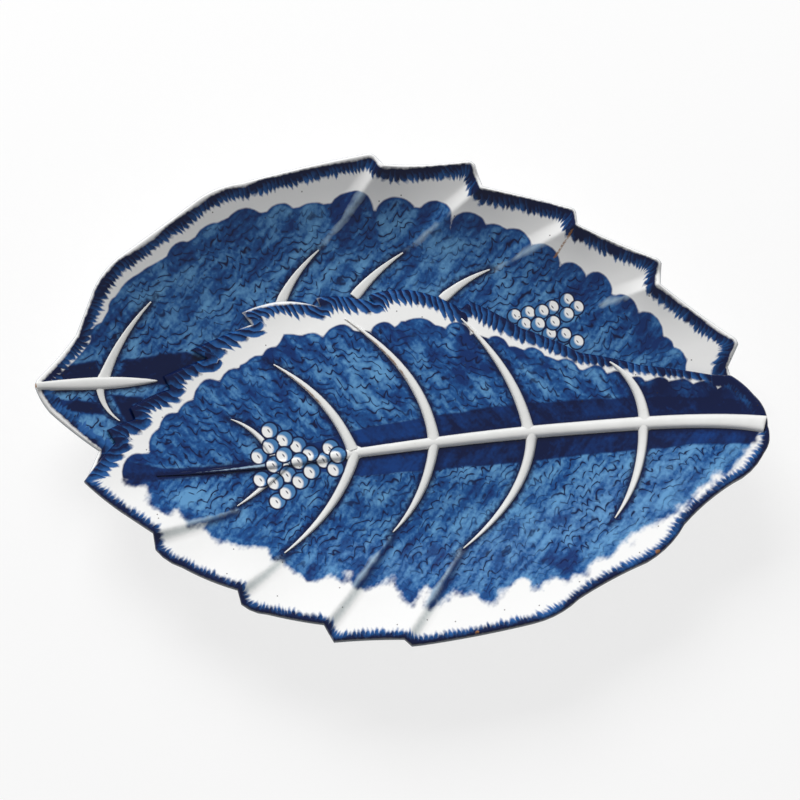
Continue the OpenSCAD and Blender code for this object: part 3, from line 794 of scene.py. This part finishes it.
# Round the stalk the rim is washed dark without a comb
stalk_end = (xy[:, 0] > 118) & (xy[:, 1] > -14)
# The wash is thinner towards the stalk on the lower half
lower_tone = by_length(xy, LOWER_TONE)
# White lip along one tooth of the overlapping edge, partly worn glaze and partly a painted highlight, with
# painted shade at its very edge
tooth_lip_white = np.clip(1 - abs(xy[:, 0] + 49) / 18, 0, 1) * (xy[:, 1] > 30)
rim_solid = np.where(stalk_end, STALK_COMB_SOLID, RIM_COMB_SOLID)
# The rows of pen lines follow the midrib above it, and the side veins below it
rows = np.where(lift > 0, lift + 0.35 * xy[:, 0], 0.55 * xy[:, 0] - 0.83 * lift)
give(
    front_leaf,
    depth=depth_mm, run=run_mm, field=field_mm, seam=seam_mm, dark=bands, row=rows,
    tone=tone_mm + np.where(lift > 0, UPPER_TONE, lower_tone), stain=spots(xy, FRONT_STAINS),
    ragged=np.where(on_rim & ~stalk_end, FRAYED, CLEAN), rib=rib_reading(xy, front_ribs.values()),
    comb=np.where(on_rim, RIM_COMB, by_length(xy, EDGE_COMB)),
    comb_pitch=np.where(on_rim, RIM_COMB_PITCH, EDGE_COMB_PITCH),
    comb_solid=np.where(on_rim, rim_solid, by_length(xy, EDGE_COMB_SOLID)),
    comb_lean=np.where(on_rim, RIM_COMB_LEAN, by_length(xy, EDGE_COMB_LEAN)),
    bare=np.where(on_rim, RIM_LIP_WHITE, EDGE_LIP_WHITE * tooth_lip_white), face=upper_face.astype(float),
    flow=np.stack([(xy[:, 0] + 0.7 * abs(lift)) / STROKE_WIDTH, lift / STROKE_LENGTH, 0 * lift], 1),
    **crest_reading(xy), **grape_reading(xy, FRONT_GRAPES, GRAPE, FRONT_LIT),
)


# Midribs and side veins
# Rolls of paste raised on the leaves, thick at the root and fine at the tip. They are left white between
# lines of blue and rounded over by the glaze.

# Clear glaze over white porcelain: bright and wet-looking, a little uneven in tone, with brown stain in
# the worn places
glaze = bpy.data.materials.new("white_porcelain_glaze")
glaze.use_nodes = True
t = glaze.node_tree
coat = t.nodes["Principled BSDF"]
across = add(t, "Attribute", {}, "Fac", attribute_name="across")
painted_over = add(t, "Attribute", {}, "Fac", attribute_name="painted_over")
place = add(t, "TexCoord", {}, "Object")
blotch = add(t, "TexNoise", {"Vector": place, "Scale": 1000 / 6, "Detail": 3.0})
grain = add(t, "TexNoise", {"Vector": place, "Scale": 1000 / 1.5, "Detail": 2.0})
colour = add(t, "Mix", {0: blotch, 6: WHITE, 7: linear("#E4E5E2")}, 2, data_type="RGBA")
# Brown stain that has crept under worn glaze on the flanks
worn = add(t, "Attribute", {}, "Fac", attribute_name="worn")
stain = add(t, "Math", [grain, blotch], operation="ADD")
stain = add(t, "Math", [stain, worn], operation="ADD")
stain = add(t, "MapRange", {"Value": stain, "From Min": 1.35, "From Max": 1.7, "To Max": 0.75})
colour = add(t, "Mix", {0: stain, 6: colour, 7: STAIN}, 2, data_type="RGBA")
lap = add(t, "Math", [grain, 0.5, across], operation="MULTIPLY_ADD")
lap = add(t, "MapRange", {"Value": lap, "From Min": 1.35, "From Max": 1.5})
colour = add(t, "Mix", {0: lap, 6: colour, 7: NAVY}, 2, data_type="RGBA")
# Blue over the leaf tip's end of the midrib, with a painted highlight: a thin pale line along its top
painted_crest_highlight = add(t, "Math", [grain, 0.6, across], operation="MULTIPLY_ADD")
painted_crest_highlight = add(t, "Math", [painted_crest_highlight, painted_over], operation="ADD")
painted_crest_highlight = add(t, "MapRange", {"Value": painted_crest_highlight, "From Min": 1.7, "From Max": 2.1})
wash = add(t, "Mix", {0: painted_crest_highlight, 6: linear("#9DB9D2"), 7: NAVY}, 2, data_type="RGBA")
colour = add(t, "Mix", {0: painted_over, 6: colour, 7: wash}, 2, data_type="RGBA")
wash = add(t, "Mix", {0: grain, 6: PALE, 7: MID}, 2, data_type="RGBA")
colour = paint_grapes(t, colour, wash)
t.links.new(colour, coat.inputs["Base Color"])
gloss = {"Value": blotch, "From Min": 0.3, "From Max": 0.7, "To Min": 0.12, "To Max": 0.2}
gloss = add(t, "MapRange", gloss)
t.links.new(gloss, coat.inputs["Roughness"])
coat.inputs["IOR"].default_value = 1.5

# Section of a rib, in half widths across and heights up
SECTION = np.array([
    (-1.15, -0.9), (-1.02, -0.25), (-0.95, 0.12), (-0.84, 0.5), (-0.65, 0.8), (-0.35, 0.96), (0, 1),
    (0.35, 0.96), (0.65, 0.8), (0.84, 0.5), (0.95, 0.12), (1.02, -0.25), (1.15, -0.9),
])


def rib(node, handles, width, height, dwindle, flare, top, grapes, start=0, worn=0, root=0):
    """A rib along its curve, with its foot sunk a little into the leaf. Where it springs from another
    rib, it rises to the height root."""
    s = np.linspace(start, 1, 250 if node == "front_midrib" else 80)
    path = bezier(handles, s)
    way = np.gradient(path, axis=0)
    side = np.stack([way[:, 1], -way[:, 0]], 1) / np.hypot(*way.T)[:, None]
    wide, high = rib_share(s, dwindle, flare), height * rib_share(s, dwindle, 0)
    way_mm = s * np.hypot(*np.subtract(handles[-1], handles[0]))
    high = high + max(root - height, 0) * np.exp(-((way_mm / 4) ** 2))
    # The back midrib is fullest in the middle of its length
    if node == "back_midrib":
        wide = wide * (0.78 + 0.42 * np.sin(math.pi * np.clip(s, 0, 1)))
    xy = path[:, None] + (SECTION[:, 0] * width / 2 * wide[:, None])[..., None] * side[:, None]
    z = top(xy) + SECTION[:, 1] * high[:, None] + SLIP
    c = len(SECTION)
    points = np.concatenate([xy, z[..., None]], 2).reshape(-1, 3)
    faces = [
        (i * c + k, i * c + c + k, i * c + c + (k + 1) % c, i * c + (k + 1) % c)
        for i in range(len(s) - 1) for k in range(c)
    ]
    faces += [tuple(range(c)), tuple(len(points) - 1 - k for k in range(c))]
    made = piece(node + "_glazed", points, faces, glaze, node)
    # The blue covers the front midrib from the grapes on, and closes in towards the leaf tip
    over = np.clip((-22 - points[:, 0]) / 3, 0, 1) + np.clip((-45 - points[:, 0]) / 50, 0, 1)
    # The left flank is worn from a third of the length on
    left = np.clip(1 - abs(SECTION[:, 0] + 0.7) / 0.4, 0, 1) * worn
    rubbed = (np.clip((s - 0.35) / 0.2, 0, 1)[:, None] * left).ravel()
    give(
        made,
        across=np.tile(abs(SECTION[:, 0]), len(s)), worn=rubbed,
        painted_over=over * (node == "front_midrib"), **grape_reading(points[:, :2], *grapes),
    )


# How much of the glaze is worn, by vein. The front midrib runs out to the rim
WORN = {"front_vein_upper_3": 0.8, "front_vein_upper_4": 0.8, "front_vein_upper_2": 0.45}
for node, sizes in front_ribs.items():
    from_stalk = midrib_share[np.argmin(abs(midrib_line[:, 0] - sizes[0][0][0]))]
    root = 0.96 * FRONT_MIDRIB[2] * rib_share(from_stalk, FRONT_MIDRIB[3], 0)
    start, root = (-0.012, 0) if node == "front_midrib" else (0, root)
    rib(node, *sizes, front_top, (FRONT_GRAPES, GRAPE, FRONT_LIT), start, WORN.get(node, 0), root)
# The back midrib runs out over the lip, and three veins come out from under the front leaf
START = {"back_midrib": -0.06, "back_vein_upper_1": 0, "back_vein_lower_1": 0}
for node, sizes in back_ribs.items():
    rib(node, *sizes, back_top, (BACK_GRAPES, BACK_GRAPE, BACK_LIT), START.get(node, -0.12))


# Foot ring
# A plain ring of paste luted under the well. It is left without glaze, so that it doesn't stick to the
# kiln shelf.

FOOT_INSET = 3
FOOT_WALL = 5

# Unglazed porcelain biscuit: dry, warm and slightly gritty
biscuit = bpy.data.materials.new("unglazed_biscuit")
biscuit.use_nodes = True
t = biscuit.node_tree
coat = t.nodes["Principled BSDF"]
place = add(t, "TexCoord", {}, "Object")
grain = add(t, "TexNoise", {"Vector": place, "Scale": 1000 / 2, "Detail": 4.0})
colour = add(t, "Mix", {0: grain, 6: linear("#E4DACA"), 7: linear("#CDBFA8")}, 2, data_type="RGBA")
t.links.new(colour, coat.inputs["Base Color"])
dry = add(t, "MapRange", {"Value": grain, "To Min": 0.6, "To Max": 0.9})
t.links.new(dry, coat.inputs["Roughness"])
bump = add(t, "Bump", {"Height": grain, "Strength": 0.3, "Distance": 0.0004}, "Normal")
t.links.new(bump, coat.inputs["Normal"])

turn = np.radians(np.arange(0, 360, 2))
oval = np.stack([np.sign(f) * abs(f) ** (2 / FULLNESS) for f in (np.cos(turn), np.sin(turn))], 1)
ring = [(0, FOOT_HEIGHT), (0, 1.2), (0.3, 0.4), (1, 0), (FOOT_WALL - 1, 0), (FOOT_WALL - 0.3, 0.4),
        (FOOT_WALL, 1.2), (FOOT_WALL, FOOT_HEIGHT)]
points = np.concatenate([
    [(*(q * (WELL / 2 - FOOT_INSET - inward)), height) for inward, height in ring] for q in oval
])
c = len(ring)
faces = [
    (i * c + k, i * c + (k + 1) % c, (i + 1) % len(oval) * c + (k + 1) % c, (i + 1) % len(oval) * c + k)
    for i in range(len(oval)) for k in range(c)
]
piece("foot_ring_biscuit", points, faces, biscuit, "foot_ring")


# Studio
# The dish stands on a pale table top of matt card, under one large soft lamp from behind and an even
# fill.

# Matt card: an even, soft white that takes a faint shadow
table = bpy.data.materials.new("pale_card")
table.use_nodes = True
t = table.node_tree
card = t.nodes["Principled BSDF"]
card.inputs["Base Color"].default_value = linear("#F8F8F8")
card.inputs["Roughness"].default_value = 0.9
# Seen by the camera or in the glaze it is nearly white, with a faint shadow of the dish
seen = add(t, "LightPath", {}, "Is Camera Ray")
mirrored = add(t, "LightPath", {}, "Is Glossy Ray")
seen = add(t, "Math", [seen, mirrored], operation="MAXIMUM")
seen = add(t, "Math", [seen, 0.75], operation="MULTIPLY")
white = add(t, "Emission", {"Color": linear("#FFFFFF"), "Strength": 1.0})
white = add(t, "MixShader", [seen, card.outputs[0], white])
t.links.new(white, t.nodes["Material Output"].inputs["Surface"])
mesh = bpy.data.meshes.new("table_top")
mesh.from_pydata([(-3, -3, 0), (3, -3, 0), (3, 3, 0), (-3, 3, 0)], [], [(0, 1, 2, 3)])
mesh.materials.append(table)
floor = bpy.data.objects.new("table_top", mesh)
bpy.context.scene.collection.objects.link(floor)
floor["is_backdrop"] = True

world = bpy.data.worlds.new("studio")
bpy.context.scene.world = world
world.use_nodes = True
fill = world.node_tree.nodes["Background"]
fill.inputs["Color"].default_value = linear("#FFFFFF")
fill.inputs["Strength"].default_value = 0.28


def look_at(made, target):
    """Turn a lamp or the camera towards a place."""
    made.rotation_euler = (Vector(target) - made.location).to_track_quat("-Z", "Y").to_euler()


lamp = bpy.data.lights.new("softbox", "AREA")
lamp.shape = "RECTANGLE"
lamp.size = 1.2
lamp.size_y = 0.8
lamp.energy = 33
key = bpy.data.objects.new("softbox", lamp)
key.location = (-0.4, 1.32, 1.15)
key.visible_glossy = False
look_at(key, (0, 0, 0))
bpy.context.scene.collection.objects.link(key)

# Camera above the dish, 12 degrees off straight down, with a long lens
ELEVATION = math.radians(78)
DISTANCE = 1.6
AIM = Vector((-0.0002, 0.0019, 0.016))
lens = bpy.data.cameras.new("camera")
lens.lens = 180
lens.sensor_width = 36
camera = bpy.data.objects.new("camera", lens)
camera.location = AIM + DISTANCE * Vector((0, -math.cos(ELEVATION), math.sin(ELEVATION)))
look_at(camera, AIM)
bpy.context.scene.collection.objects.link(camera)
bpy.context.scene.camera = camera
bpy.context.scene.view_settings.view_transform = "Standard"
